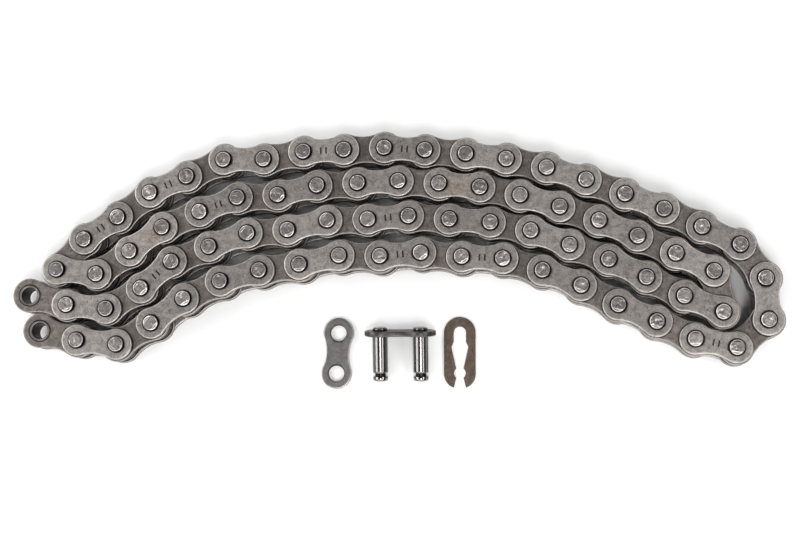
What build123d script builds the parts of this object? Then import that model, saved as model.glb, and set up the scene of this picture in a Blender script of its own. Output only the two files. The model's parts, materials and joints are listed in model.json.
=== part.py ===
from build123d import *
import os
from math import atan, cos, degrees, radians, sin

os.makedirs("parts", exist_ok=True)

# A length of 3/8 inch pitch bush chain of the size that drives a garage door opener, stored folded
# into four nested runs, with its loose connecting link laid out under the fold. Millimetres, +Z up.
# The chain lies on a table at z = 0 with its pins upright. The origin is on the table, under the
# middle of the whole lay-out.

# ---------------------------------------------------------------- chain dimensions
pitch = 9.525
plate_thickness = 1.25
edge_round = 0.25

outer_lobe = 3.65        # end radius of an outer link plate
outer_waist = 2.75       # half width of an outer link plate at its middle
inner_lobe = 4.05
inner_waist = 3.15

pin_radius = 1.79
pin_length = 11.70
pin_chamfer = 0.30
running_clearance = 0.04
bush_outer_radius = 2.54
bush_bore_radius = pin_radius + running_clearance

inner_gap = 4.77         # clear width between the two inner plates, where a sprocket tooth goes
side_play = 0.10         # from an inner plate to the outer plate beside it

mid_height = pin_length / 2
bush_length = inner_gap + 2 * plate_thickness
inner_plate_z = [mid_height + inner_gap / 2, mid_height - inner_gap / 2 - plate_thickness]
outer_face = bush_length / 2 + side_play
outer_plate_z = [mid_height + outer_face, mid_height - outer_face - plate_thickness]

# ---------------------------------------------------------------- connecting link dimensions
cover_hole_radius = 1.83
groove_radius = 1.30
groove_width = 0.80
pin_tip = 1.15           # from the groove to the end of the pin
shank_radius = 1.60      # the pin's end inside the plate, turned down to a shoulder
rivet_radius = 1.72
rivet_height = 0.90
groove_start = side_play + bush_length + side_play + plate_thickness
pin_reach = groove_start + groove_width + pin_tip

clip_thickness = 0.70
clip_length = 16.60
clip_half_width = 3.73
clip_slot_half = 1.45    # half width of the slot round the first pin's groove
clip_slot_end = 2.10     # from the first pin's axis to where the straight slot stops
clip_hip = 1.98          # half width of the opening at its widest
clip_hip_end = 3.40
clip_hole_radius = 1.36
clip_neck_half = 0.85
clip_mouth_half = 1.40
clip_tip_half = 1.62
shoulder_x = 3.20        # a point on the round shoulder between the clip's side and its tip
shoulder_drop = 2.02     # how far that point lies below the second pin's axis

# ---------------------------------------------------------------- how the chain is folded
# The way each link points, in whole degrees from +X, walking from one end of the chain to the
# other. Links alternate, and the first and the last are inner links with an empty bush.
third_run = [-14, -6, 30, 41, 21, 19, 4, 13, 1, 4, -5, -5, -12, -21, -21, -26, -27, -23]
second_run = [102, 154, 155, 157, 160, 163, 168, 174, 176, 182, 183, 193, 183, 200, 202, 216, 214, 173]
top_run = [48, 33, 37, 23, 24, 0, 10, 2, 2, -4, -6, -8, -13, -18, -21, -22, -26, -26]
tail = [-54, -87, -139, -192, -205, -204, -208, -202, -197, -183, -186, -176, -181, -168, -172,
        -165, -155, -143, -149, -186, -194]

overall_depth = 59.85    # from the cover plate's lower end to the top of the fold

# Where the loose pieces lie: the middle of each, and the way it points.
cover_centre = (-13.70, -21.52)
cover_heading = 87
link_plate_centre = (1.40, -16.35)
clip_centre = (15.20, -21.32)


def walk(headings):
    """The pivots of a chain that starts at (0, 0): one more than it has links."""
    points = [(0.0, 0.0)]
    for heading in headings:
        x, y = points[-1]
        points.append((x + pitch * cos(radians(heading)), y + pitch * sin(radians(heading))))
    return points


headings = third_run + second_run + top_run + tail
walked = walk(headings)
shift_x = -(min(x for x, y in walked) + max(x for x, y in walked)) / 2
shift_y = overall_depth / 2 - inner_lobe - max(y for x, y in walked)
pivots = [(x + shift_x, y + shift_y) for x, y in walked]


def link_place(index, z):
    """The place of a piece that spans a whole link: the middle of the link, turned to point along it."""
    (x1, y1), (x2, y2) = pivots[index], pivots[index + 1]
    return Location(((x1 + x2) / 2, (y1 + y2) / 2, z), (0, 0, headings[index]))


def link_places(indices, heights):
    return [link_place(index, z) for index in indices for z in heights]


def pivot_places(indices, z):
    """The two pivots of each link."""
    return [Location((*pivots[end], z)) for index in indices for end in (index, index + 1)]


# ---------------------------------------------------------------- link plates
def plate_outline(lobe, waist):
    """The outline of a link plate: two round ends joined by hollow sides, tangent to both."""
    side_radius = ((pitch / 2) ** 2 + waist**2 - lobe**2) / (2 * (lobe - waist))
    share = lobe / (lobe + side_radius)
    touch_x = pitch / 2 * (1 - share)
    touch_y = (waist + side_radius) * share
    end_x = pitch / 2 + lobe
    with BuildLine() as outline:
        ThreePointArc((-touch_x, touch_y), (0, waist), (touch_x, touch_y))
        ThreePointArc((touch_x, touch_y), (end_x, 0), (touch_x, -touch_y))
        ThreePointArc((touch_x, -touch_y), (0, -waist), (-touch_x, -touch_y))
        ThreePointArc((-touch_x, -touch_y), (-end_x, 0), (-touch_x, touch_y))
    return outline.line


def link_plate(lobe, waist, hole_radius):
    """One stamped plate, its lower face at z = 0, with the rims of both faces rounded."""
    with BuildPart() as plate:
        with BuildSketch():
            add(plate_outline(lobe, waist))
            make_face()
        extrude(amount=plate_thickness)
        rims = plate.edges().filter_by_position(Axis.Z, 0, 0)
        rims += plate.edges().filter_by_position(Axis.Z, plate_thickness, plate_thickness)
        fillet(rims, edge_round)
        with BuildSketch():
            with Locations((-pitch / 2, 0), (pitch / 2, 0)):
                Circle(hole_radius)
        extrude(amount=plate_thickness, mode=Mode.SUBTRACT)
    return plate.part


outer_plate = link_plate(outer_lobe, outer_waist, pin_radius)
inner_plate = link_plate(inner_lobe, inner_waist, bush_outer_radius)

# ---------------------------------------------------------------- pins and bushes
with BuildPart() as link_pin:
    Cylinder(pin_radius, pin_length, align=(Align.CENTER, Align.CENTER, Align.MIN))
    chamfer(link_pin.edges().filter_by(GeomType.CIRCLE), pin_chamfer)

with BuildPart() as link_bush:
    Cylinder(bush_outer_radius, bush_length)
    Cylinder(bush_bore_radius, bush_length, mode=Mode.SUBTRACT)


def write(piece, name):
    """Labels a finished piece and writes it as its own file."""
    piece.label = name
    export_step(piece, f"parts/{name}.step")


def write_group(piece, name, places):
    """Writes one node that holds the same piece at several places, each a separate solid."""
    with BuildPart() as group:
        with Locations(*places):
            add(piece)
    write(group.part, name)


# ---------------------------------------------------------------- the three runs that stay put
links_in_run = len(third_run)
for run, first in (("third_run", 0), ("second_run", links_in_run), ("top_run", 2 * links_in_run)):
    inner_links = range(first, first + links_in_run, 2)
    outer_links = range(first + 1, first + links_in_run, 2)
    write_group(inner_plate, f"{run}_inner_plates", link_places(inner_links, inner_plate_z))
    write_group(link_bush.part, f"{run}_bushes", pivot_places(inner_links, mid_height))
    write_group(outer_plate, f"{run}_outer_plates", link_places(outer_links, outer_plate_z))
    write_group(link_pin.part, f"{run}_pins", pivot_places(outer_links, 0))

# ---------------------------------------------------------------- the tail, link by link
first_of_tail = 3 * links_in_run
for number in range(1, len(tail) + 1):
    index = first_of_tail + number - 1
    name = f"tail_link_{number:02d}"
    if index % 2 == 0:
        write_group(inner_plate, f"{name}_plates", link_places([index], inner_plate_z))
        write_group(link_bush.part, f"{name}_bushes", pivot_places([index], mid_height))
    else:
        write_group(outer_plate, f"{name}_plates", link_places([index], outer_plate_z))
        write_group(link_pin.part, f"{name}_pins", pivot_places([index], 0))

# ---------------------------------------------------------------- connecting link: plate and two pins
# The link lies with its plate on edge and its pins level with the table but for a small droop, so
# that both the plate's rim and the pins' tips touch the table. It is drawn with the outer face of
# its plate on the plane z = 0 of a frame of its own, and the pins standing along that frame's +Z.
droop = degrees(atan((outer_lobe - pin_radius) / (pin_reach - pin_chamfer)))
link_height = outer_lobe * cos(radians(droop)) + plate_thickness * sin(radians(droop))
link_frame = Plane(
    origin=(*link_plate_centre, link_height),
    x_dir=(1, 0, 0),
    z_dir=(0, -cos(radians(droop)), -sin(radians(droop))),
)

connecting_plate_blank = link_plate(outer_lobe, outer_waist, shank_radius)
with BuildPart(link_frame) as connecting_plate:
    add(connecting_plate_blank)

with BuildPart() as connecting_pin:
    with BuildSketch(Plane.XZ):
        with BuildLine():
            Polyline(
                (0, -rivet_height),
                (rivet_radius - pin_chamfer, -rivet_height),
                (rivet_radius, -rivet_height + pin_chamfer),
                (rivet_radius, 0),
                (shank_radius, 0),
                (shank_radius, plate_thickness),
                (pin_radius, plate_thickness),
                (pin_radius, plate_thickness + groove_start),
                (groove_radius, plate_thickness + groove_start),
                (groove_radius, plate_thickness + groove_start + groove_width),
                (pin_radius, plate_thickness + groove_start + groove_width),
                (pin_radius, plate_thickness + pin_reach - pin_chamfer),
                (pin_radius - pin_chamfer, plate_thickness + pin_reach),
                (0, plate_thickness + pin_reach),
                close=True,
            )
        make_face()
    revolve(axis=Axis.Z)

write(connecting_plate.part, "connecting_plate")
for side, name in ((-1, "connecting_pin_left"), (1, "connecting_pin_right")):
    with BuildPart(link_frame) as placed_pin:
        with Locations((side * pitch / 2, 0)):
            add(connecting_pin.part)
    write(placed_pin.part, name)

# ---------------------------------------------------------------- cover plate
cover_blank = link_plate(outer_lobe, outer_waist, cover_hole_radius)
with BuildPart() as cover_plate:
    with Locations(Location((*cover_centre, 0), (0, 0, cover_heading))):
        add(cover_blank)
write(cover_plate.part, "cover_plate")

# ---------------------------------------------------------------- spring clip
# Drawn with the first pin's axis at (0, 0) and the second one pitch below it. The closed end is
# round about the first pin. The opening runs down the middle and out between the two tips.
tip_y = clip_half_width - clip_length
hole_y = -pitch
shoulder_y = hole_y - shoulder_drop
throat_rise = (clip_hole_radius**2 - clip_neck_half**2) ** 0.5


def clip_outline():
    with BuildLine() as outline:
        JernArc((-clip_half_width, 0), (0, 1), clip_half_width, -180)
        Line((clip_half_width, 0), (clip_half_width, hole_y))
        ThreePointArc(
            (clip_half_width, hole_y),
            (shoulder_x, shoulder_y),
            (clip_tip_half, tip_y),
        )
        Line((clip_tip_half, tip_y), (-clip_tip_half, tip_y))
        ThreePointArc(
            (-clip_tip_half, tip_y),
            (-shoulder_x, shoulder_y),
            (-clip_half_width, hole_y),
        )
        Line((-clip_half_width, hole_y), (-clip_half_width, 0))
    return outline.line


def clip_opening():
    with BuildLine() as opening:
        JernArc((-clip_slot_half, 0), (0, 1), clip_slot_half, -180)
        Polyline(
            (clip_slot_half, 0),
            (clip_slot_half, -clip_slot_end),
            (clip_hip, -clip_hip_end),
            (clip_neck_half, hole_y + throat_rise),
            (clip_neck_half, hole_y - throat_rise),
            (clip_mouth_half, tip_y),
            (-clip_mouth_half, tip_y),
            (-clip_neck_half, hole_y - throat_rise),
            (-clip_neck_half, hole_y + throat_rise),
            (-clip_hip, -clip_hip_end),
            (-clip_slot_half, -clip_slot_end),
            (-clip_slot_half, 0),
        )
    return opening.line


with BuildPart() as clip_blank:
    with BuildSketch():
        add(clip_outline())
        make_face()
    extrude(amount=clip_thickness)
    with BuildSketch():
        add(clip_opening())
        make_face()
        with Locations((0, hole_y)):
            Circle(clip_hole_radius)
    extrude(amount=clip_thickness, mode=Mode.SUBTRACT)

with BuildPart() as spring_clip:
    with Locations(clip_centre):
        with Locations((0, clip_length / 2 - clip_half_width)):
            add(clip_blank.part)
write(spring_clip.part, "spring_clip")
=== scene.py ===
import json
import math

import bmesh
import bpy
import numpy as np
from mathutils import Matrix, Vector


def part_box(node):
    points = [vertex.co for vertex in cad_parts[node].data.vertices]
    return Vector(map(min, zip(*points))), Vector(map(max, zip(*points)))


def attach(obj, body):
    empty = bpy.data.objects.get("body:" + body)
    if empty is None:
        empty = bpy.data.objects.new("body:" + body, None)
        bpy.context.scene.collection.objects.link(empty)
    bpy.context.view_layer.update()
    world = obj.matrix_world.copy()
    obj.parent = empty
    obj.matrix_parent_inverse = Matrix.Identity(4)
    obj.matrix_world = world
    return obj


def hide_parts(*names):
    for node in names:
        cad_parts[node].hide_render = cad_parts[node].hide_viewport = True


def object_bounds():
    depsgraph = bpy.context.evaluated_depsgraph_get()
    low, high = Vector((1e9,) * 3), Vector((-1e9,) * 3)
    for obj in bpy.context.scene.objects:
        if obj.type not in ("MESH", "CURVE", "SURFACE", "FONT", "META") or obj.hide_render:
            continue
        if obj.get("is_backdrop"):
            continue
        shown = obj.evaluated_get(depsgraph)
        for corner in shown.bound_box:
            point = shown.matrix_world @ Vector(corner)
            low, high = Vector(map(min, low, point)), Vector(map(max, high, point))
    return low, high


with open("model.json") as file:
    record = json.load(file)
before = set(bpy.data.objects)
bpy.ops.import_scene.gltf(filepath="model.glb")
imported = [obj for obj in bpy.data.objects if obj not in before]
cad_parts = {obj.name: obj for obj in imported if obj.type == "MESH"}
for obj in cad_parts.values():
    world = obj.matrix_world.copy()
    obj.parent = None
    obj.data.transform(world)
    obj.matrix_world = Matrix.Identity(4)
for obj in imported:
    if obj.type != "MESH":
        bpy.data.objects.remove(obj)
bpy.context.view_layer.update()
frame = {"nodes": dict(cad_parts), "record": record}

# Shapes are worked out in millimetres in a frame of the link's own, x along the link and y across
# it, and put in their places in metres.
MM = 0.001
PITCH = 9.525
PLATE_THICKNESS = 1.25
OUTER_LOBE, OUTER_WAIST = 3.65, 2.75
INNER_LOBE, INNER_WAIST = 4.05, 3.15
PIN_RADIUS = 1.79
BUSH_RADIUS = 2.54
BORE_RADIUS = 1.83
COVER_HOLE_RADIUS = 1.83
SHANK_RADIUS = 1.60
RIVET_RADIUS, RIVET_HEIGHT = 1.72, 0.90
SHAFT_LENGTH = 8.72
GROOVE_RADIUS, GROOVE_WIDTH, TIP_LENGTH = 1.30, 0.80, 1.15
CLIP_THICKNESS = 0.70
CLIP_HALF_WIDTH, CLIP_LENGTH = 3.73, 16.60
SLOT_HALF, SLOT_END = 1.45, 2.10
HIP_HALF, HIP_END = 1.98, 3.40
NECK_HALF, MOUTH_HALF, TIP_HALF = 0.85, 1.40, 1.62
CLIP_HOLE_RADIUS = 1.36
SHOULDER = (3.20, 2.02)      # a point on the clip's shoulder, across it and below the second pin
RUN_LINKS = 18
RUNS = ("third_run", "second_run", "top_run")
LINK_COUNT = 75
TAIL_LINKS = LINK_COUNT - RUN_LINKS * len(RUNS)
MARKED_LINKS = (3, 9, 31, 37, 39, 43, 45, 57, 63, 65)
STAINED_LINKS = {25: (1.2, 0.6), 33: (-2.0, 0.4)}    # where a brown stain is deepest, as (x, y)
STAIN_SPREAD = (3.2, 2.2)
PLATE_TILT = (0.0035, 0.0021)    # the most that a plate leans, in radians, about x and about y
PIN_TURN = 0.38                  # how far, in radians, a pin end's flats typically stray from the link
GRAIN_SHIFT = 500                # moves each piece to a place of its own in the grain
SHARP = 38                       # degrees between faces that still shade as one surface
PIN_SHARP = 20

chance = np.random.default_rng(35)


# ---------------------------------------------------------------- where the links are
def solid_middles(node):
    """The middle, seen from above, of each separate solid of a CAD node, in metres."""
    solids = bmesh.new()
    solids.from_mesh(frame["nodes"][node].data)
    bmesh.ops.remove_doubles(solids, verts=solids.verts, dist=1e-6)
    left = set(solids.verts)
    middles = []
    while left:
        found = []
        waiting = [left.pop()]
        while waiting:
            vertex = waiting.pop()
            found.append(vertex.co.xy)
            for edge in vertex.link_edges:
                other = edge.other_vert(vertex)
                if other in left:
                    left.remove(other)
                    waiting.append(other)
        points = np.array(found)
        middles.append((points.min(0) + points.max(0)) / 2)
    solids.free()
    return middles


def mount(name):
    return next(m for m in frame["record"]["mounts"] if m["name"] == name)


def chain_pivots():
    """Every pivot in order along the chain: the middles of the bushes, each one pitch from the last."""
    nodes = [f"{run}_bushes" for run in RUNS]
    nodes += [f"tail_link_{number:02d}_bushes" for number in range(1, TAIL_LINKS + 1, 2)]
    last = np.array(mount("end_a_bush")["pos_m"][:2])
    pivots = []
    for node in nodes:
        waiting = solid_middles(node)
        while waiting:
            if pivots:
                gaps = [abs(np.hypot(*(p - last)) - PITCH * MM) for p in waiting]
            else:
                gaps = [np.hypot(*(p - last)) for p in waiting]
            last = waiting.pop(int(np.argmin(gaps)))
            pivots.append(last)
    return np.array(pivots)


pivots = chain_pivots()


def body_name(link):
    first = RUN_LINKS * len(RUNS)
    return "stored_run" if link < first else f"tail_link_{link - first + 1:02d}"


def node_name(link, kind):
    """The CAD node that holds a link's plates, pins or bushes."""
    run = link // RUN_LINKS
    if run >= len(RUNS):
        return f"{body_name(link)}_{kind}"
    if kind == "plates":
        kind = "outer_plates" if link % 2 else "inner_plates"
    return f"{RUNS[run]}_{kind}"


# ---------------------------------------------------------------- mesh making
class Shape:
    """A mesh in the making. Each point has a wear value, 1 on a rim that rubs bright, and a value for
    grime and painted shade, 1 beside a joint where oil and dust gather and in shaded holes and gaps."""

    def __init__(self):
        self.points = np.zeros((0, 3))
        self.wear = np.zeros(0)
        self.dirt = np.zeros(0)
        self.faces = []

    def add(self, points, faces, wear=0.0, dirt=0.0):
        points = np.asarray(points, float).reshape(-1, 3)
        first = len(self.points)
        self.points = np.vstack([self.points, points])
        self.wear = np.append(self.wear, np.broadcast_to(wear, len(points)))
        self.dirt = np.append(self.dirt, np.broadcast_to(dirt, len(points)))
        self.faces += [tuple(first + corner for corner in face) for face in faces]
        return self

    def weld(self):
        """Makes points that lie on each other one point."""
        keys = np.round(self.points / 1e-4).astype(np.int64)
        _, first, back = np.unique(keys, axis=0, return_index=True, return_inverse=True)
        back = back.ravel()
        wear, dirt = np.zeros(len(first)), np.zeros(len(first))
        np.maximum.at(wear, back, self.wear)
        np.maximum.at(dirt, back, self.dirt)
        self.points, self.wear, self.dirt = self.points[first], wear, dirt
        kept = []
        for face in self.faces:
            corners = []
            for corner in (int(back[c]) for c in face):
                if corner not in corners:
                    corners.append(corner)
            if len(corners) > 2:
                kept.append(tuple(corners))
        self.faces = kept
        return self

    def mesh(self, name, sharp=SHARP):
        made = bpy.data.meshes.new(name)
        made.from_pydata(self.points * MM, [], self.faces)
        for key, values in (("wear", self.wear), ("dirt", self.dirt)):
            made.attributes.new(key, "FLOAT", "POINT").data.foreach_set("value", values.astype(np.float32))
        for key in ("tone", "stain"):
            made.attributes.new(key, "FLOAT", "POINT")
        made.attributes.new("grain", "FLOAT_VECTOR", "POINT")
        tidy = bmesh.new()
        tidy.from_mesh(made)
        bmesh.ops.recalc_face_normals(tidy, faces=tidy.faces)
        tidy.to_mesh(made)
        tidy.free()
        made.shade_smooth()
        made.set_sharp_from_angle(angle=math.radians(sharp))
        return made


def strips(rows, columns, closed):
    """The quads of a grid of rows of points, closed round on itself if asked."""
    faces = []
    for row in range(rows - 1):
        here, below = row * columns, (row + 1) * columns
        for column in range(columns if closed else columns - 1):
            beside = (column + 1) % columns
            faces.append((here + column, here + beside, below + beside, below + column))
    return faces


def lathe(rows, segments):
    """A shape turned about z from rows of (radius, height, wear, grime and painted shade). A radius of 0
    closes it.
    """
    angles = np.linspace(0, 2 * math.pi, segments, endpoint=False)
    points = []
    for radius, height, _, _ in rows:
        points += [(radius * math.cos(a), radius * math.sin(a), height) for a in angles]
    wear, dirt = (np.repeat([row[column] for row in rows], segments) for column in (2, 3))
    return Shape().add(points, strips(len(rows), segments, True), wear, dirt).weld()


# ---------------------------------------------------------------- link plates
# A plate's rounded rim, from its flat face to its side: how far in, how far down and how worn.
RIM = [
    (0.42, 0.0, 0.0), (0.27, 0.012, 0.25), (0.16, 0.045, 0.7),
    (0.075, 0.10, 1.0), (0.02, 0.185, 1.0), (0.0, 0.30, 0.6),
]
HALF_LOBE_STEPS, SIDE_STEPS, MIDDLE_STEPS = 22, 9, 10
HOLE_DROP = 0.28         # how deep the broken edge of a plate's hole reaches
# width of the painted shadow ring that an outer plate's edge casts on the inner plate
SHADOW_RING_WIDTH = 0.17


def half_outline(lobe, waist, inset):
    """Points round the outline of a plate's right half, from the middle of its upper side to the
    middle of its lower side, moved in by an inset."""
    side = ((PITCH / 2) ** 2 + waist**2 - lobe**2) / (2 * (lobe - waist))
    share = lobe / (lobe + side)
    bend = math.asin(PITCH / 2 * (1 - share) / side)
    upper = []
    for angle in np.linspace(0, bend, SIDE_STEPS, endpoint=False):
        reach = side + inset
        upper.append((reach * math.sin(angle), waist + side - reach * math.cos(angle)))
    start = math.atan2((waist + side) * share, PITCH / 2 * (1 - share) - PITCH / 2)
    for angle in np.linspace(start, 0, HALF_LOBE_STEPS + 1):
        upper.append((PITCH / 2 + (lobe - inset) * math.cos(angle), (lobe - inset) * math.sin(angle)))
    upper = np.array(upper)
    return np.vstack([upper, upper[-2::-1] * (1, -1)])


def plate(
    lobe, waist, hole, hole_break=0.20, rings_out=5, shadow_ring=None, shadow_ring_ends=(1, -1), side_shade=0.75
):
    """A stamped plate with rounded rims, its lower face at z = 0. A painted shadow lies in a ring about a
    hole where a neighbour's edge stands over it, and its sides and the edge and wall of its holes get
    painted shade."""
    shape = Shape()
    shares = np.linspace(0, 1, rings_out + 1)[1:] ** 1.25
    top = PLATE_THICKNESS
    profile = [(inset, top - drop, worn) for inset, drop, worn in RIM]
    profile += [(0.0, top / 2, 0.2)]
    profile += [(inset, drop, worn) for inset, drop, worn in reversed(RIM)]
    for mirror in (1, -1):
        loops = []
        worn = []
        painted_shade = []
        for inset, height, wear in profile:
            edge = half_outline(lobe, waist, inset) * (mirror, 1)
            loops.append(np.c_[edge, np.full(len(edge), height)])
            worn.append(np.full(len(edge), wear))
            # painted shade: a plate's sides are painted darker towards the bottom, where the gaps between
            # the runs lie in shadow
            darkening = side_shade * min(1.0, max(0.0, 1.25 - 1.3 * height / top)) if inset < 0.1 else 0.0
            painted_shade.append(np.full(len(edge), darkening))
        count = len(loops[0])
        sides = strips(len(loops), count, False)
        shape.add(np.vstack(loops), sides, np.concatenate(worn), np.concatenate(painted_shade))
        edge = half_outline(lobe, waist, RIM[0][0]) * (mirror, 1)
        half_way = np.linspace(edge[-1, 1], edge[0, 1], MIDDLE_STEPS + 2)[1:-1]
        round_it = np.vstack([edge, np.c_[np.zeros(len(half_way)), half_way]])
        centre = np.array([mirror * PITCH / 2, 0])
        ray = round_it - centre
        ray /= np.hypot(*ray.T)[:, None]
        rings = [centre + ray * (hole + 0.03), centre + ray * (hole + hole_break)]
        depths = [HOLE_DROP, 0.0]
        # the hole's broken edge is painted dark: grime from the joint and painted shade in the gap round
        # the pin or bush
        ring_grime_and_shade = [1.0, 0.8]
        count = len(round_it)
        ring_grime_and_shade = [np.full(count, value) for value in ring_grime_and_shade]
        for share in shares:
            rings.append(rings[1] * (1 - share) + round_it * share)
            depths.append(0.0)
            dirt = np.full(count, max(0.0, 0.45 - 1.6 * share))
            # painted shadow: a dark ring on the inner plate just outside the outer plate's edge
            if shadow_ring and mirror in shadow_ring_ends:
                away = np.hypot(*(rings[-1] - centre).T) - shadow_ring
                dirt = np.maximum(dirt, np.exp(-((away / SHADOW_RING_WIDTH) ** 2)))
            ring_grime_and_shade.append(dirt)
        for face_z, sign in ((top, -1), (0.0, 1)):
            points = []
            for ring, depth in zip(rings, depths):
                points.append(np.c_[ring, np.full(count, face_z + sign * depth)])
            shape.add(np.vstack(points), strips(len(points), count, True), 0.0, np.concatenate(ring_grime_and_shade))
        # the hole's wall is painted dark: painted shade
        wall = [np.c_[rings[0], np.full(count, z)] for z in (top - HOLE_DROP, HOLE_DROP)]
        shape.add(np.vstack(wall), strips(2, count, True), 0.0, 1.0)
    return shape.weld()


outer_plate = plate(OUTER_LOBE, OUTER_WAIST, PIN_RADIUS)
# The chain's two bare ends have no neighbour there, so no painted shadow ring.
inner_plate, first_plate, last_plate = (
    plate(INNER_LOBE, INNER_WAIST, BUSH_RADIUS, 0.06, 11, OUTER_LOBE + 0.02, ends)
    for ends in ((1, -1), (1,), (-1,))
)


STROKES = (-0.62, 0.62)      # where two short strokes are stamped on some plates, along the link
STROKE_HALF_LENGTH, STROKE_HALF_WIDTH, STROKE_DEPTH = 0.80, 0.19, 0.13
STROKE_SIDES = 24
# how dark the inside of the struck strokes is made
STROKE_DARKENING = 0.75
STROKE_REACH = 1.1       # both strokes lie within this of the plate's middle
CUTTER_RISE = 0.10       # the cutter starts this far above the plate


def stamped(shape):
    """A copy of a plate with two short strokes struck into its upper face."""
    whole = bpy.data.objects.new("whole", shape.mesh("whole"))
    bpy.context.scene.collection.objects.link(whole)
    cutter = Shape()
    turns = np.linspace(0, 2 * math.pi, STROKE_SIDES, endpoint=False)
    levels = (
        (CUTTER_RISE, 1.45), (-STROKE_DEPTH * 0.6, 0.85), (-STROKE_DEPTH, 0.35), (-STROKE_DEPTH, 0.01),
    )
    for x in STROKES:
        rows = []
        for height, half in levels:
            ends = np.where(np.sin(turns) > 0, 1, -1) * (STROKE_HALF_LENGTH - STROKE_HALF_WIDTH)
            reach = STROKE_HALF_WIDTH * half
            level = np.full(STROKE_SIDES, PLATE_THICKNESS + height)
            rows.append(np.c_[x + reach * np.cos(turns), ends + reach * np.sin(turns), level])
        lid = np.array([[x, 0, PLATE_THICKNESS + CUTTER_RISE]] * STROKE_SIDES)
        bottom = rows[-1] * (0, 0, 1) + (x, 0, 0)
        cutter.add(np.vstack([lid] + rows + [bottom]), strips(len(rows) + 2, STROKE_SIDES, True))
    cutter.weld()
    tool = bpy.data.objects.new("tool", cutter.mesh("tool"))
    bpy.context.scene.collection.objects.link(tool)
    cut = whole.modifiers.new("cut", "BOOLEAN")
    cut.operation, cut.solver, cut.object = "DIFFERENCE", "EXACT", tool
    bpy.context.view_layer.update()
    graph = bpy.context.evaluated_depsgraph_get()
    made = bpy.data.meshes.new_from_object(whole.evaluated_get(graph))
    points = np.array([v.co for v in made.vertices]) / MM
    result = Shape().add(points, [tuple(face.vertices) for face in made.polygons])
    for own, old in ((result.wear, shape.wear), (result.dirt, shape.dirt)):
        for index, point in enumerate(points):
            gaps = np.abs(shape.points - point).sum(1)
            nearest = int(np.argmin(gaps))
            own[index] = old[nearest] if gaps[nearest] < 1e-3 else 0.0
    height = points[:, 2]
    sunk = (height < PLATE_THICKNESS - 0.01) & (height > PLATE_THICKNESS - STROKE_DEPTH - 0.01)
    sunk &= (np.abs(points[:, 0]) < STROKE_REACH) & (np.abs(points[:, 1]) < STROKE_REACH)
    result.dirt[sunk] = STROKE_DARKENING
    for used in (whole, tool):
        bpy.data.objects.remove(used)
    return result


stamped_plate = stamped(outer_plate)


# ---------------------------------------------------------------- pins and bushes
HEAD_FLAT = 1.46        # radius of a pin's flat end
CHORD = 1.02            # from the pin's middle to the edge of the flats struck on its end
HEAD_DEPTH = 0.55       # from the pin's end to where its plain shaft starts
HEAD_COLUMNS = 14
FLAT_SLOPE = 24         # degrees, where a struck flat runs over the rim
DENTS = 8
# The rim of a pin's end, going outward: radius, how far down, wear and painted shade, which darkens the
# head's side down into the shaded ring round it.
HEAD_RIM = [
    (1.56, 0.015, 0.5, 0.0), (1.63, 0.05, 1.0, 0.0), (1.69, 0.11, 0.7, 0.2),
    (1.74, 0.20, 0.2, 0.7), (1.79, 0.36, 0.0, 1.0),
]


def head_layout():
    """Points over a pin's end, in rows across it, with rows on the edges of its struck flats."""
    turn = math.asin(CHORD / HEAD_FLAT)
    angles = np.concatenate([
        np.linspace(-math.pi / 2, -turn, 6)[:-1],
        np.linspace(-turn, turn, 15)[:-1],
        np.linspace(turn, math.pi / 2, 6),
    ])
    points = []
    for angle in angles:
        for column in np.linspace(-1, 1, HEAD_COLUMNS + 1):
            points.append((column * HEAD_FLAT * math.cos(angle), HEAD_FLAT * math.sin(angle)))
    faces = strips(len(angles), HEAD_COLUMNS + 1, False)
    edge = [(HEAD_FLAT * math.cos(a), HEAD_FLAT * math.sin(a)) for a in angles]
    edge += [(-x, y) for x, y in reversed(edge[1:-1])]
    return np.array(points), faces, np.array(edge)


def head_height(points, draw):
    """How far each point of a pin's end lies below its highest level."""
    x, y = points[:, 0], points[:, 1]
    depth = 0.015 * (x**2 + y**2) / HEAD_FLAT**2
    for side in (1, -1):
        slope = math.tan(math.radians(draw.uniform(9, 30)))
        lean = draw.uniform(-0.10, 0.10)
        depth = np.maximum(depth, (side * y + lean * x - CHORD) * slope)
    for _ in range(DENTS):
        angle = draw.uniform(0, 2 * math.pi)
        reach = draw.uniform(0.1, 1.7)
        away = (x - reach * math.cos(angle)) ** 2 + (y - reach * math.sin(angle)) ** 2
        depth = depth + draw.uniform(0.02, 0.09) * np.exp(-away / draw.uniform(0.14, 0.42) ** 2)
    return depth


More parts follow.
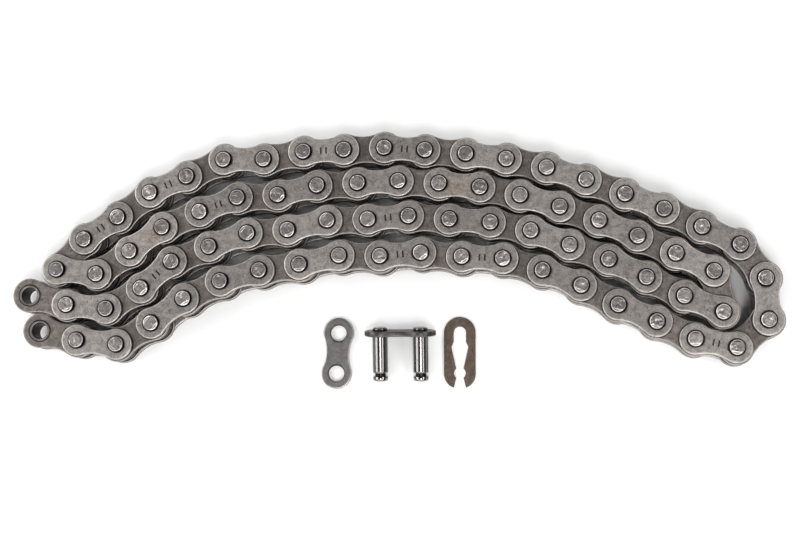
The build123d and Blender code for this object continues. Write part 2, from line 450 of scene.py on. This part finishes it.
def pin(length, draw):
    """A riveted pin standing on z = 0, with two flats struck on each end."""
    layout, faces, edge = head_layout()
    shape = Shape()
    count = len(edge)
    side = edge * (PIN_RADIUS / HEAD_FLAT)
    for end, sign in ((length, -1), (0.0, 1)):
        depth = head_height(layout, draw)
        near = np.abs(np.abs(layout[:, 1]) - CHORD) < 0.08
        # the struck flats are made darker
        struck = 0.55 * np.clip((np.abs(layout[:, 1]) - CHORD) / 0.2, 0, 1)
        shape.add(np.c_[layout, end + sign * depth], faces, np.where(near, 0.8, 0.15), struck)
        gaps = np.hypot(*(layout[None] - edge[:, None]).transpose(2, 0, 1))
        loops = [shape.points[-len(layout):][np.argmin(gaps, axis=1)]]
        worn = [np.full(count, 0.3)]
        painted_shade = [np.zeros(count)]
        # the head's side is painted darker towards the plate: painted shade in the ring round the pin
        for radius, drop, wear, darkening in HEAD_RIM:
            ring = edge * (radius / HEAD_FLAT)
            outside = np.clip(np.abs(ring[:, 1]) - CHORD, 0, None) * math.tan(math.radians(FLAT_SLOPE))
            loops.append(np.c_[ring, end + sign * np.maximum(outside, drop)])
            worn.append(np.full(count, wear))
            painted_shade.append(np.full(count, darkening))
        loops.append(np.c_[side, np.full(count, end + sign * HEAD_DEPTH)])
        worn.append(np.zeros(count))
        painted_shade.append(np.ones(count))
        rim = strips(len(loops), count, True)
        shape.add(np.vstack(loops), rim, np.concatenate(worn), np.concatenate(painted_shade))
    # the shaft inside the plates and bushes is painted dark: painted shade
    wall = [np.c_[side, np.full(count, z)] for z in (length - HEAD_DEPTH, length / 2, HEAD_DEPTH)]
    shape.add(np.vstack(wall), strips(3, count, True), 0.0, 1.0)
    return shape.weld()


BUSH_SEGMENTS, CONNECTING_PIN_SEGMENTS = 56, 72


def bush(length):
    """A bush about z, standing on z = 0, with eased edges inside and out."""
    outer, bore = BUSH_RADIUS, BORE_RADIUS
    # rows of (radius, height, wear, grime and painted shade): the bore is painted dark as painted shade,
    # and the outer wall darkens towards the plates with grime and painted shade
    half = [
        (outer, 2.2, 0.0, 0.45), (outer, 1.5, 0.0, 0.9), (outer, 0.20, 0.0, 1.0),
        (outer - 0.05, 0.07, 0.0, 1.0), (outer - 0.13, 0.015, 0.1, 0.5), (outer - 0.24, 0.0, 0.0, 0.1),
        (bore + 0.36, 0.0, 0.0, 0.0), (bore + 0.22, 0.01, 0.12, 0.0), (bore + 0.10, 0.07, 0.20, 0.4),
        (bore + 0.02, 0.20, 0.0, 0.9), (bore, 0.40, 0.0, 1.0), (bore, 0.80, 0.0, 1.0),
    ]
    rows = [(r, length - z, w, d) for r, z, w, d in half] + [(r, z, w, d) for r, z, w, d in reversed(half)]
    rows.append(rows[0])
    return lathe(rows, BUSH_SEGMENTS)


# ---------------------------------------------------------------- connecting link, cover plate and clip
def connecting_pin():
    """A pin along z: its riveted head below z = 0, its shaft from the plate, its groove and its tip."""
    start = PLATE_THICKNESS
    groove = start + SHAFT_LENGTH
    tip = groove + GROOVE_WIDTH
    end = tip + TIP_LENGTH
    crown = -RIVET_HEIGHT
    # rows of (radius, height, wear, grime and painted shade); darker where the pin meets the plate and in
    # its groove
    rows = [
        (0.0, crown, 0.3, 0.0), (0.50, crown + 0.005, 0.3, 0.0), (0.95, crown + 0.02, 0.4, 0.0),
        (1.28, crown + 0.06, 0.8, 0.0), (1.50, crown + 0.14, 0.5, 0.0), (1.64, crown + 0.26, 0.1, 0.2),
        (RIVET_RADIUS, crown + 0.42, 0.0, 0.4), (RIVET_RADIUS, -0.22, 0.0, 0.6),
        (RIVET_RADIUS - 0.03, -0.06, 0.0, 0.9), (SHANK_RADIUS, 0.0, 0.0, 1.0),
        (SHANK_RADIUS, start, 0.0, 1.0), (PIN_RADIUS - 0.06, start, 0.0, 0.8),
        (PIN_RADIUS, start + 0.06, 0.0, 0.5), (PIN_RADIUS, start + 0.5, 0.0, 0.1),
    ]
    rows += [(PIN_RADIUS, z, 0.0, 0.0) for z in np.linspace(start + 1.3, groove - 0.6, 7)]
    rows += [
        (PIN_RADIUS, groove - 0.22, 0.1, 0.0), (PIN_RADIUS - 0.05, groove - 0.08, 0.5, 0.1),
        (PIN_RADIUS - 0.14, groove, 0.4, 0.4),
        (GROOVE_RADIUS + 0.10, groove + 0.03, 0.0, 1.0), (GROOVE_RADIUS, groove + 0.13, 0.0, 1.0),
        (GROOVE_RADIUS, tip - 0.13, 0.0, 1.0), (GROOVE_RADIUS + 0.10, tip - 0.03, 0.0, 1.0),
        (PIN_RADIUS - 0.12, tip, 0.2, 0.4), (PIN_RADIUS - 0.03, tip + 0.05, 0.6, 0.0),
        (PIN_RADIUS, tip + 0.15, 0.3, 0.0), (PIN_RADIUS, end - 0.42, 0.2, 0.0),
        (PIN_RADIUS - 0.06, end - 0.24, 0.6, 0.0), (PIN_RADIUS - 0.20, end - 0.09, 0.6, 0.0),
        (PIN_RADIUS - 0.38, end - 0.01, 0.4, 0.0),
        (1.0, end, 0.1, 0.0), (0.5, end, 0.1, 0.0), (0.0, end, 0.1, 0.0),
    ]
    return lathe(rows, CONNECTING_PIN_SEGMENTS)


def arc_through(a, b, c, steps):
    """Points on the circle through three points, from the first to the last."""
    (ax, ay), (bx, by), (cx, cy) = a, b, c
    span = 2 * (ax * (by - cy) + bx * (cy - ay) + cx * (ay - by))
    a2, b2, c2 = ax**2 + ay**2, bx**2 + by**2, cx**2 + cy**2
    ux = (a2 * (by - cy) + b2 * (cy - ay) + c2 * (ay - by)) / span
    uy = (a2 * (cx - bx) + b2 * (ax - cx) + c2 * (bx - ax)) / span
    first, last = math.atan2(ay - uy, ax - ux), math.atan2(cy - uy, cx - ux)
    radius = math.hypot(ax - ux, ay - uy)
    return [(ux + radius * math.cos(t), uy + radius * math.sin(t)) for t in np.linspace(first, last, steps)]


def clip_sides():
    """Matching points down the outside and the inside of the clip's right half, from its closed end
    to its tip. The first pin is at (0, 0) and the second one pitch below it."""
    hole = -PITCH
    tip = CLIP_HALF_WIDTH - CLIP_LENGTH
    rise = math.sqrt(CLIP_HOLE_RADIUS**2 - NECK_HALF**2)
    outside, inside = [], []
    for angle in np.linspace(math.pi / 2, 0, 18):
        outside.append((CLIP_HALF_WIDTH * math.cos(angle), CLIP_HALF_WIDTH * math.sin(angle)))
        inside.append((SLOT_HALF * math.cos(angle), SLOT_HALF * math.sin(angle)))
    corners = [(SLOT_HALF, 0), (SLOT_HALF, -SLOT_END), (HIP_HALF, -HIP_END), (NECK_HALF, hole + rise)]
    for (x1, y1), (x2, y2), steps in zip(corners, corners[1:], (4, 4, 12)):
        for share in np.linspace(0, 1, steps + 1)[1:]:
            inside.append((x1 + (x2 - x1) * share, y1 + (y2 - y1) * share))
            outside.append((CLIP_HALF_WIDTH, inside[-1][1]))
    turn = math.asin(rise / CLIP_HOLE_RADIUS)
    shoulder = arc_through((CLIP_HALF_WIDTH, hole), (SHOULDER[0], hole - SHOULDER[1]), (TIP_HALF, tip), 19)
    for step, angle in enumerate(np.linspace(turn, -turn, 15)[1:], 1):
        inside.append((CLIP_HOLE_RADIUS * math.cos(angle), hole + CLIP_HOLE_RADIUS * math.sin(angle)))
        outside.append((CLIP_HALF_WIDTH, hole + rise * (1 - step / 5)) if step <= 5 else shoulder[step - 5])
    for share, point in zip(np.linspace(0, 1, 10)[1:], shoulder[10:]):
        reach = NECK_HALF + (MOUTH_HALF - NECK_HALF) * share
        inside.append((reach, hole - rise + (tip - hole + rise) * share))
        outside.append(point)
    return np.array(outside), np.array(inside)


def moved_in(loop, inset):
    """A closed loop of points, clockwise, moved in by an inset."""
    along = np.roll(loop, -1, 0) - np.roll(loop, 1, 0)
    along /= np.hypot(*along.T)[:, None]
    return loop + inset * np.c_[along[:, 1], -along[:, 0]]


CLIP_COLUMNS = 7
CLIP_RIM = [(0.14, 0.0, 0.0), (0.07, 0.012, 0.5), (0.02, 0.05, 1.0), (0.0, 0.12, 0.7)]


def clip():
    """The spring clip, its lower face at z = 0."""
    outside, inside = clip_sides()
    right = np.vstack([outside, inside[::-1]])
    left = (right * (-1, 1))[::-1]
    loop = np.vstack([right, left[1:-1]])
    shape = Shape()
    profile = [(inset, CLIP_THICKNESS - drop, worn) for inset, drop, worn in CLIP_RIM]
    profile += [(0.0, CLIP_THICKNESS / 2, 0.2)]
    profile += [(inset, drop, worn) for inset, drop, worn in reversed(CLIP_RIM)]
    rows = [np.c_[moved_in(loop, inset), np.full(len(loop), z)] for inset, z, _ in profile]
    worn = np.repeat([row[2] for row in profile], len(loop))
    shape.add(np.vstack(rows), strips(len(rows), len(loop), True), worn)
    flat = moved_in(loop, CLIP_RIM[0][0])
    count = len(outside)
    edges = flat[:count], flat[count:2 * count][::-1]
    for mirror in (1, -1):
        for height in (CLIP_THICKNESS, 0.0):
            points = []
            for share in np.linspace(0, 1, CLIP_COLUMNS):
                line = (edges[0] * (1 - share) + edges[1] * share) * (mirror, 1)
                points.append(np.c_[line, np.full(count, height)])
            shape.add(np.vstack(points), strips(CLIP_COLUMNS, count, False))
    return shape.weld()


# ---------------------------------------------------------------- materials
class Nodes:
    """Short words for wiring a material."""

    def __init__(self, name):
        self.material = bpy.data.materials.new(name)
        self.material.use_nodes = True
        self.tree = self.material.node_tree
        self.shader = self.tree.nodes["Principled BSDF"]

    def put(self, socket, value):
        if isinstance(value, bpy.types.NodeSocket):
            self.tree.links.new(value, socket)
        elif value is not None:
            socket.default_value = value

    def node(self, kind, settings=None, inputs=None, output=0):
        made = self.tree.nodes.new(kind)
        for key, value in (settings or {}).items():
            setattr(made, key, value)
        for key, value in (inputs or {}).items():
            self.put(made.inputs[key], value)
        return made.outputs[output]

    def value(self, name):
        return self.node("ShaderNodeAttribute", {"attribute_name": name}, output="Fac")

    def vector(self, name):
        return self.node("ShaderNodeAttribute", {"attribute_name": name}, output="Vector")

    def noise(self, at, scale, detail=3.0, roughness=0.55, distortion=0.0):
        inputs = {"Vector": at, "Scale": scale, "Detail": detail, "Roughness": roughness}
        inputs["Distortion"] = distortion
        return self.node("ShaderNodeTexNoise", None, inputs, "Fac")

    def stretch(self, at, scale):
        return self.node("ShaderNodeMapping", None, {"Vector": at, "Scale": scale})

    def span(self, value, low, high, to_low=0.0, to_high=1.0):
        """Maps low..high to to_low..to_high, and holds it there outside."""
        inputs = {"Value": value, "From Min": low, "From Max": high, "To Min": to_low, "To Max": to_high}
        return self.node("ShaderNodeMapRange", {"interpolation_type": "SMOOTHSTEP"}, inputs)

    def sum(self, operation, a, b):
        return self.node("ShaderNodeMath", {"operation": operation}, {0: a, 1: b})

    def mix(self, share, a, b, blend="MIX"):
        made = self.tree.nodes.new("ShaderNodeMix")
        made.data_type = "RGBA"
        made.blend_type = blend
        self.put(made.inputs[0], share)
        for socket, value in ((made.inputs[6], a), (made.inputs[7], b)):
            self.put(socket, value if isinstance(value, bpy.types.NodeSocket) else (*value, 1.0))
        return made.outputs[2]


WARM, GREEN = (0.36, 0.27, 0.25), (0.25, 0.31, 0.25)    # two faint tints that steel has in patches
BUMP_HEIGHT = 0.03 * MM
# a near-black for grime and painted shade, and a rust brown
SHADE_AND_GRIME, RUST = (0.012, 0.009, 0.010), (0.17, 0.105, 0.065)


def steel(name, dark, light, rough, worn, tint=0.22, streak=0.0, bump=0.35, spread=0.13):
    """Mill-finished steel: mottled, faintly tinted, dirty beside its joints, painted dark as painted shade
    in its holes, bores and gaps, and rubbed bright on its rims. Its colour runs from dark to light, and
    rough is its least and its greatest roughness."""
    n = Nodes(name)
    grain = n.vector("grain")
    fine = n.noise(grain, 4.2, 5.0, 0.7)
    blotch = n.noise(grain, 0.75, 3.0, 0.6, 0.6)
    patch = n.noise(grain, 1.6, 2.0, 0.5)
    tone = n.value("tone")
    share = n.sum("ADD", n.sum("MULTIPLY", fine, 0.62), n.sum("MULTIPLY", blotch, 0.38))
    if streak:
        lines = n.noise(n.stretch(grain, (0.35, 9.0, 9.0)), 1.0, 4.0, 0.6)
        share = n.sum("ADD", n.sum("MULTIPLY", share, 1 - streak), n.sum("MULTIPLY", lines, streak))
    colour = n.mix(n.span(share, 0.34, 0.66), dark, light)
    colour = n.mix(n.span(blotch, 0.52, 0.72, 0.0, tint), colour, WARM)
    colour = n.mix(n.span(patch, 0.55, 0.75, 0.0, tint), colour, GREEN)
    level = n.span(tone, 0.0, 1.0, 1 - spread, 1 + spread)
    bright = n.node("ShaderNodeHueSaturation", None, {"Color": colour, "Value": level})
    rim = n.sum("MULTIPLY", n.value("wear"), n.span(fine, 0.30, 0.55, 0.25, 1.0))
    colour = n.mix(n.sum("MULTIPLY", rim, 0.75), bright, worn)
    pits = n.node("ShaderNodeTexVoronoi", {"feature": "F1"}, {"Vector": grain, "Scale": 0.62}, "Distance")
    pit = n.span(pits, 0.05, 0.12, 0.8, 0.0)
    # grime and painted shade from the point values, with dark pits
    darkening = n.span(n.sum("ADD", n.value("dirt"), n.sum("MULTIPLY", fine, 0.35)), 0.25, 1.05, 0.0, 0.97)
    darkening = n.sum("MAXIMUM", darkening, pit)
    colour = n.mix(darkening, colour, SHADE_AND_GRIME)
    rust = n.sum("MULTIPLY", n.value("stain"), n.span(n.noise(grain, 1.1, 5.0, 0.65, 0.8), 0.36, 0.60))
    colour = n.mix(n.sum("MULTIPLY", rust, 0.75), colour, RUST)
    n.put(n.shader.inputs["Base Color"], colour)
    n.shader.inputs["Metallic"].default_value = 1.0
    polish = n.sum("SUBTRACT", n.span(fine, 0.25, 0.75, rough[0], rough[1]), n.sum("MULTIPLY", rim, 0.10))
    n.put(n.shader.inputs["Roughness"], n.sum("ADD", polish, n.sum("MULTIPLY", rust, 0.25)))
    height = n.sum("ADD", fine, n.sum("MULTIPLY", blotch, 0.6))
    height = n.sum("SUBTRACT", height, n.sum("MULTIPLY", pit, 1.5))
    bumps = n.node("ShaderNodeBump", None, {"Strength": bump, "Distance": BUMP_HEIGHT, "Height": height})
    n.put(n.shader.inputs["Normal"], bumps)
    return n.material


FINISHES = {
    "outer_plate_steel": dict(
        dark=(0.160, 0.146, 0.135), light=(0.430, 0.400, 0.375), rough=(0.38, 0.54),
        worn=(0.48, 0.46, 0.44),
    ),
    "inner_plate_steel": dict(
        dark=(0.097, 0.085, 0.078), light=(0.250, 0.222, 0.203), rough=(0.38, 0.54),
        worn=(0.38, 0.36, 0.34),
    ),
    "pin_steel": dict(
        dark=(0.130, 0.120, 0.112), light=(0.500, 0.466, 0.438), rough=(0.28, 0.48),
        worn=(0.56, 0.54, 0.52), bump=0.75, spread=0.26,
    ),
    "bush_steel": dict(
        dark=(0.100, 0.087, 0.080), light=(0.230, 0.205, 0.187), rough=(0.38, 0.54),
        worn=(0.36, 0.34, 0.32),
    ),
    "connecting_plate_steel": dict(
        dark=(0.033, 0.029, 0.0295), light=(0.061, 0.056, 0.056), rough=(0.36, 0.48),
        worn=(0.13, 0.125, 0.122), tint=0.10,
    ),
    "cover_plate_steel": dict(
        dark=(0.178, 0.165, 0.162), light=(0.332, 0.314, 0.309), rough=(0.32, 0.46),
        worn=(0.50, 0.485, 0.475), tint=0.10,
    ),
    "ground_pin_steel": dict(
        dark=(0.135, 0.129, 0.125), light=(0.222, 0.215, 0.209), rough=(0.12, 0.20),
        worn=(0.48, 0.46, 0.44), tint=0.06, streak=0.7, bump=0.12,
    ),
    "spring_steel": dict(
        dark=(0.092, 0.069, 0.053), light=(0.162, 0.124, 0.101), rough=(0.42, 0.58),
        worn=(0.22, 0.18, 0.15), tint=0.12,
    ),
}
materials = {name: steel(name, **finish) for name, finish in FINISHES.items()}


# ---------------------------------------------------------------- putting pieces in their places
def place(points, centre, heading, height, tilt=(0.0, 0.0)):
    """Points in metres, turned to a heading, tilted a little, and moved to their place."""
    lean = Matrix.Rotation(tilt[0], 3, "X") @ Matrix.Rotation(tilt[1], 3, "Y")
    moved = points @ np.array(Matrix.Rotation(heading, 3, "Z") @ lean).T
    return moved + np.array([centre[0], centre[1], height])


def piece(name, mesh, material, body, nodes):
    """One object of a finished mesh, which rides on a body and stands for some CAD nodes."""
    made = bpy.data.objects.new(name, mesh)
    made.data.materials.append(materials[material])
    bpy.context.scene.collection.objects.link(made)
    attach(made, body)
    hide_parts(*nodes)


def floats(mesh, key, values):
    mesh.attributes[key].data.foreach_set("value", np.asarray(values, np.float32))


def shape_piece(name, shapes, material, body, nodes):
    """One object from shapes already in their places, each as (shape, points in metres, tone, stain)."""
    whole = Shape()
    grain, tone, stain, world = [], [], [], []
    for shape, points, level, mark in shapes:
        whole.add(shape.points, shape.faces, shape.wear, shape.dirt)
        grain.append(shape.points + chance.uniform(0, GRAIN_SHIFT, 3))
        tone.append(np.full(len(points), level))
        stain.append(np.broadcast_to(mark, len(points)))
        world.append(points)
    mesh = whole.mesh(name)
    mesh.vertices.foreach_set("co", np.vstack(world).astype(np.float32).ravel())
    mesh.attributes["grain"].data.foreach_set("vector", np.vstack(grain).astype(np.float32).ravel())
    floats(mesh, "tone", np.concatenate(tone))
    floats(mesh, "stain", np.concatenate(stain))
    mesh.update()
    piece(name, mesh, material, body, nodes)


def pair_maker(shape, name, sharp=SHARP):
    """A mesh with two copies of a shape, to be copied for many links."""
    both = Shape().add(shape.points, shape.faces, shape.wear, shape.dirt)
    both.add(shape.points, shape.faces, shape.wear, shape.dirt)
    return both.mesh(name, sharp)


def from_pair(name, pair, shape, two, material, body, node):
    """One object with a pair's two parts put in their places, each as (points in metres, tone, stain)."""
    mesh = pair.copy()
    mesh.name = name
    mesh.vertices.foreach_set("co", np.vstack([part[0] for part in two]).astype(np.float32).ravel())
    grain = np.vstack([shape.points + chance.uniform(0, GRAIN_SHIFT, 3) for _ in two])
    mesh.attributes["grain"].data.foreach_set("vector", grain.astype(np.float32).ravel())
    count = len(shape.points)
    floats(mesh, "tone", np.concatenate([np.full(count, part[1]) for part in two]))
    floats(mesh, "stain", np.concatenate([np.broadcast_to(part[2], count) for part in two]))
    mesh.update()
    piece(name, mesh, material, body, [node])


outer_pair = pair_maker(outer_plate, "outer_pair")
inner_pair = pair_maker(inner_plate, "inner_pair")
end_pairs = {
    0: (first_plate, pair_maker(first_plate, "first_pair")),
    LINK_COUNT - 1: (last_plate, pair_maker(last_plate, "last_pair")),
}
bush_low, bush_high = (corner.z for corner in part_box("tail_link_01_bushes"))
pin_low, pin_high = (corner.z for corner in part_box("tail_link_02_pins"))
bush_shape = bush((bush_high - bush_low) / MM)
bush_pair = pair_maker(bush_shape, "bush_pair")
pin_length = (pin_high - pin_low) / MM
pin_pair = pair_maker(pin(pin_length, np.random.default_rng(1)), "pin_pair", PIN_SHARP)

for link in range(LINK_COUNT):
    start, end = pivots[link], pivots[link + 1]
    middle = (start + end) / 2
    heading = math.atan2(*(end - start)[::-1])
    is_outer = link % 2 == 1
    body = body_name(link)
    shape, pair = (outer_plate, outer_pair) if is_outer else end_pairs.get(link, (inner_plate, inner_pair))
    plates = node_name(link, "plates")
    low, high = (corner.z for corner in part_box(plates))
    stain = 0.0
    if link in STAINED_LINKS:
        side, rise = STAINED_LINKS[link]
        away = (shape.points[:, :2] - (side, rise)) / STAIN_SPREAD
        stain = np.exp(-(away[:, 0] ** 2) - away[:, 1] ** 2)
    two = []
    for height in (high - PLATE_THICKNESS * MM, low):
        tilt = chance.uniform(-1, 1, 2) * PLATE_TILT
        two.append((place(shape.points * MM, middle, heading, height, tilt), chance.uniform(0, 1), stain))
    material = "outer_plate_steel" if is_outer else "inner_plate_steel"
    name = f"link_{link + 1:02d}_plates"
    if link in MARKED_LINKS:
        points = place(stamped_plate.points * MM, middle, heading, high - PLATE_THICKNESS * MM)
        upper = (stamped_plate, points, two[0][1], 0.0)
        shape_piece(name, [upper, (outer_plate, *two[1])], material, body, [plates])
    else:
        from_pair(name, pair, shape, two, material, body, plates)
    two = []
    if is_outer:
        for pivot in (start, end):
            shape = pin(pin_length, chance)
            turn = heading + chance.normal(0, PIN_TURN)
            two.append((place(shape.points * MM, pivot, turn, pin_low), chance.uniform(0, 1), 0.0))
        name, node = f"link_{link + 1:02d}_pins", node_name(link, "pins")
        from_pair(name, pin_pair, shape, two, "pin_steel", body, node)
    else:
        for pivot in (start, end):
            turn = chance.uniform(0, 2 * math.pi)
            two.append((place(bush_shape.points * MM, pivot, turn, bush_low), chance.uniform(0, 1), 0.0))
        name, node = f"link_{link + 1:02d}_bushes", node_name(link, "bushes")
        from_pair(name, bush_pair, bush_shape, two, "bush_steel", body, node)


left_pin, right_pin = mount("connecting_pin_left"), mount("connecting_pin_right")
along = (Vector(right_pin["pos_m"]) - Vector(left_pin["pos_m"])).normalized()
outward = Vector(left_pin["axis"]).normalized()
across = outward.cross(along)
link_turn = np.array(Matrix((along, across, outward)).transposed())
link_origin = (Vector(left_pin["pos_m"]) + Vector(right_pin["pos_m"])) / 2
link_origin -= outward * (PLATE_THICKNESS + SHAFT_LENGTH / 2) * MM


def in_link_frame(points):
    return points * MM @ link_turn.T + np.array(link_origin)


link_plate = plate(OUTER_LOBE, OUTER_WAIST, SHANK_RADIUS, 0.10, side_shade=0.0)
shape_piece("connecting_link_plate", [(link_plate, in_link_frame(link_plate.points), 0.5, 0.0)],
            "connecting_plate_steel", "connecting_link", ["connecting_plate"])
pin_shape = connecting_pin()
for side, name in ((-1, "left"), (1, "right")):
    points = in_link_frame(pin_shape.points + (side * PITCH / 2, 0, 0))
    shape_piece(f"connecting_link_pin_{name}", [(pin_shape, points, 0.5, 0.0)],
                "ground_pin_steel", "connecting_link", [f"connecting_pin_{name}"])

upper, lower = (np.array(mount(f"cover_plate_hole_{end}")["pos_m"][:2]) for end in ("upper", "lower"))
cover_shape = plate(OUTER_LOBE, OUTER_WAIST, COVER_HOLE_RADIUS, 0.12, side_shade=0.0)
heading = math.atan2(*(upper - lower)[::-1])
points = place(cover_shape.points * MM, (upper + lower) / 2, heading, 0.0)
shape_piece("loose_cover_plate", [(cover_shape, points, 0.45, 0.0)],
            "cover_plate_steel", "cover_plate", ["cover_plate"])

clip_shape = clip()
low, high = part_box("spring_clip")
points = clip_shape.points * MM + np.array([(low.x + high.x) / 2, high.y - CLIP_HALF_WIDTH * MM, low.z])
shape_piece("loose_spring_clip", [(clip_shape, points, 0.5, 0.0)],
            "spring_steel", "spring_clip", ["spring_clip"])


# ---------------------------------------------------------------- floor, light and camera
FLOOR_SIZE, FLOOR_COLOUR = 6, (0.94, 0.94, 0.94, 1)
WORLD_COLOUR, WORLD_STRENGTH = (1.0, 0.99, 0.98, 1), 0.14
# Each softbox: the way to it, its distance, its width and height, and its brightness.
PANELS = {
    "front_softbox": ((0.0, -1.0, 0.80), 1.5, (2.4, 1.1), 2.4),
    "left_softbox": ((-1.0, 0.15, 0.75), 1.5, (1.9, 0.9), 4.0),
    "right_strip": ((1.0, 0.15, 1.10), 1.5, (1.9, 0.40), 4.5),
    "back_softbox": ((0.0, 1.0, 0.60), 1.5, (2.0, 0.6), 1.6),
    "key": ((0.12, -0.36, 0.93), 1.3, (0.30, 0.30), 15.5),
}
LENS, SENSOR_WIDTH = 83.47, 36
CAMERA_DISTANCE = 0.4283
AIM_SHIFT = (0.00206, -0.00210)          # from the middle of the part to what the camera looks at
TOWARD_CAMERA = (0.0905, -0.1019, 0.9907)
CAMERA_ROLL = -0.0016


def floor():
    bpy.ops.mesh.primitive_plane_add(size=FLOOR_SIZE)
    made = bpy.context.object
    made.name = "floor"
    n = Nodes("floor")
    n.shader.inputs["Base Color"].default_value = FLOOR_COLOUR
    n.shader.inputs["Roughness"].default_value = 0.9
    n.shader.inputs["Specular IOR Level"].default_value = 0.1
    made.data.materials.append(n.material)
    made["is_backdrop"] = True


def panel(name, toward, distance, size, brightness):
    """A softbox that faces the middle of the part. Its brightness is what a white mirror would show."""
    lamp = bpy.data.lights.new(name, "AREA")
    lamp.shape = "RECTANGLE"
    lamp.size, lamp.size_y = size
    lamp.energy = brightness * math.pi * size[0] * size[1]
    made = bpy.data.objects.new(name, lamp)
    direction = Vector(toward).normalized()
    made.location = direction * distance
    made.rotation_euler = direction.to_track_quat("Z", "Y").to_euler()
    bpy.context.scene.collection.objects.link(made)


floor()
world = bpy.data.worlds.new("studio")
bpy.context.scene.world = world
world.use_nodes = True
background = world.node_tree.nodes["Background"]
background.inputs["Color"].default_value = WORLD_COLOUR
background.inputs["Strength"].default_value = WORLD_STRENGTH
for name, setting in PANELS.items():
    panel(name, *setting)
bpy.context.scene.view_settings.view_transform = "Standard"

low, high = (np.array(corner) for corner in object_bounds())
middle = (low + high) / 2
aim = Vector((middle[0] + AIM_SHIFT[0], middle[1] + AIM_SHIFT[1], high[2]))
back = Vector(TOWARD_CAMERA).normalized()
right = Vector((CAMERA_ROLL, 1, 0)).cross(back).normalized()
up = back.cross(right)
camera = bpy.data.cameras.new("camera")
camera.lens = LENS
camera.sensor_width = SENSOR_WIDTH
camera.clip_end = 20
eye = bpy.data.objects.new("camera", camera)
facing = Matrix((right, up, back)).transposed().to_4x4()
eye.matrix_world = Matrix.Translation(aim + back * CAMERA_DISTANCE) @ facing
bpy.context.scene.collection.objects.link(eye)
bpy.context.scene.camera = eye
